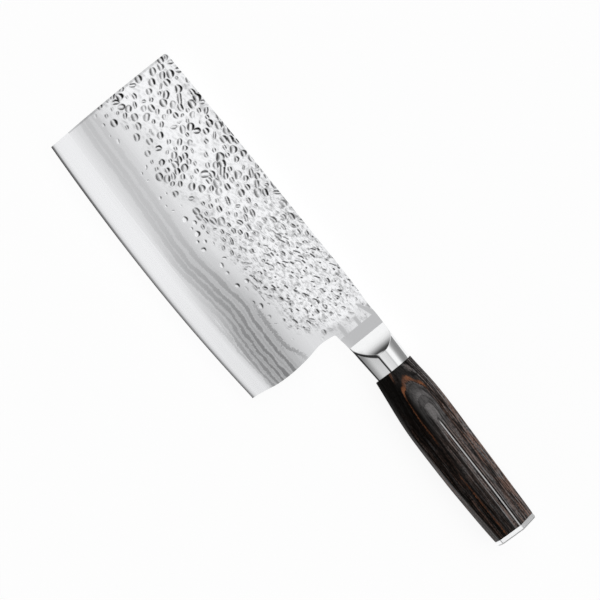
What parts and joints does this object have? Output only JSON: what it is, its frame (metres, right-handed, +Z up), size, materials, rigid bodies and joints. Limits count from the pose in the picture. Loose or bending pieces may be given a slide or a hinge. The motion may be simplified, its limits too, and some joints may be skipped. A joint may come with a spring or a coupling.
{
  "type": "kitchen cleaver",
  "caption": "Rectangular kitchen cleaver with a hammered, layered blade, a hollowed steel bolster and a faceted laminated wood grip on a hidden tang.",
  "frame": {"origin": "under the middle of the whole cleaver as it lies on its side, level with the lower side ridge of the grip", "axes": "+X from the blade's front to the butt, +Y from the cutting edge towards the spine, +Z up out of the blade's left side, square to the blade's middle plane"},
  "size_m": [0.3118, 0.0826, 0.0206],
  "materials": {
    "core_steel": "fine ground, bright, with a thin polished bevel along the edge",
    "layered_steel": "hammered upper part, smooth ground lower part with fine wavy layers",
    "polished_steel": "polished",
    "plain_steel": "plain machined",
    "laminated_wood": "dark resin-bonded wood layers, polished smooth",
    "resin": "hardened bedding resin"
  },
  "bodies": {
    "root": {"blade_core": "core_steel", "cladding_left": "layered_steel", "cladding_right": "layered_steel", "bolster": "polished_steel", "tang": "plain_steel", "tang_bedding": "resin", "grip": "laminated_wood", "tang_washer": "plain_steel", "tang_nut": "plain_steel", "end_cap": "polished_steel", "cap_pins": "plain_steel"}
  },
  "joints": []
}
